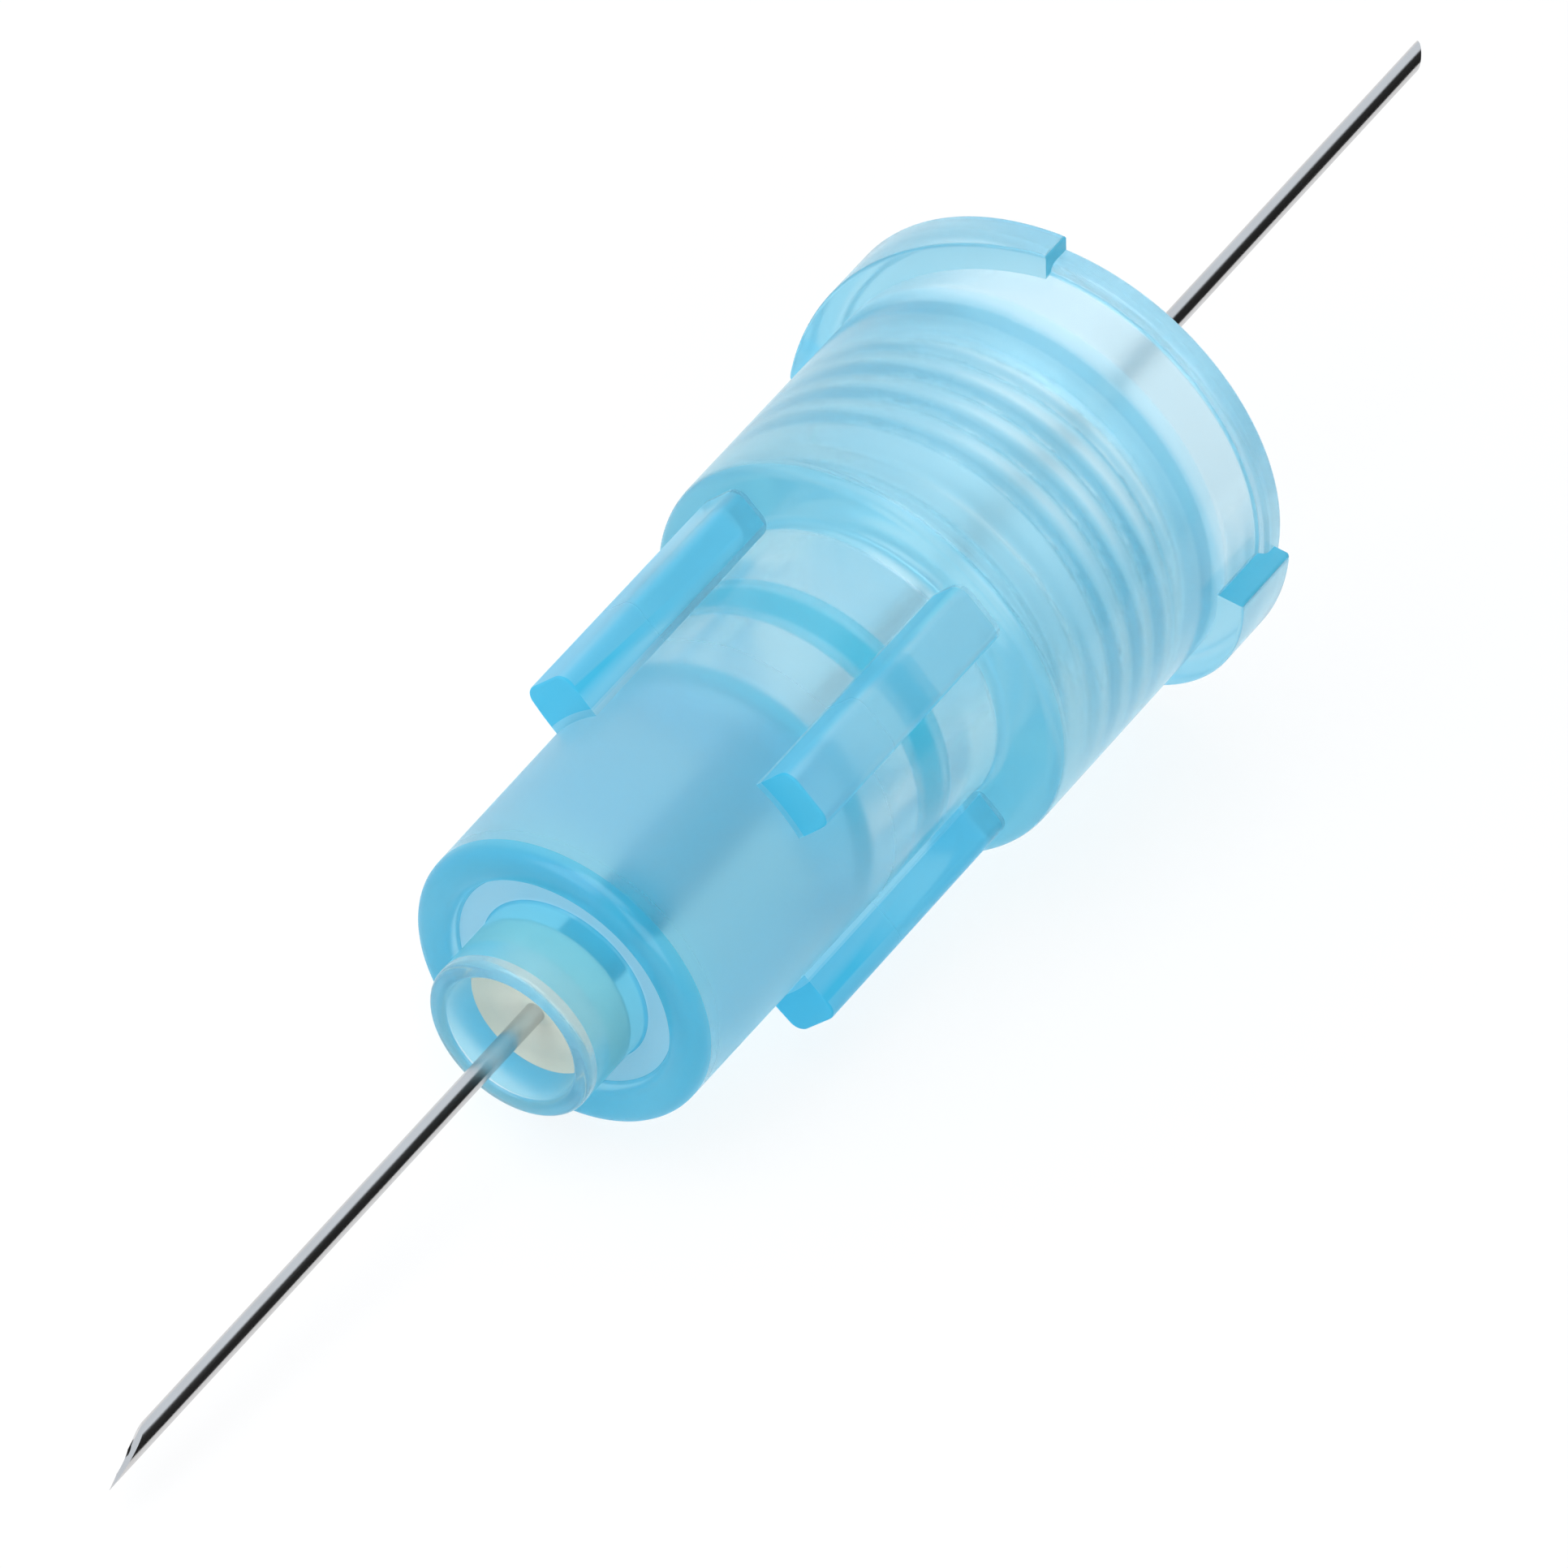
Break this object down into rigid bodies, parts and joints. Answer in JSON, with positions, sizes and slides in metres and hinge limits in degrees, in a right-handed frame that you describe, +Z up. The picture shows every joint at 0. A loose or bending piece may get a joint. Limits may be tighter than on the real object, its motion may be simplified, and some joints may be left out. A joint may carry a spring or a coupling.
{
  "type": "dental needle",
  "caption": "Double-ended dental needle: ribbed translucent blue plastic hub with a threaded syringe socket, and a bonded steel cannula with a lancet point.",
  "frame": {"origin": "middle of the needle's bounding box, at table level", "axes": "+Z up, +X from the injection point to the cartridge end along the lying needle, which dips 7.7 degrees towards its nose"},
  "size_m": [0.044, 0.01, 0.0102],
  "materials": {
    "hub_plastic": "translucent blue moulded polypropylene, satin",
    "steel": "drawn and ground stainless steel",
    "adhesive": "cured ivory epoxy"
  },
  "bodies": {
    "root": {"hub": "hub_plastic", "cannula": "steel", "adhesive": "adhesive"}
  },
  "joints": []
}
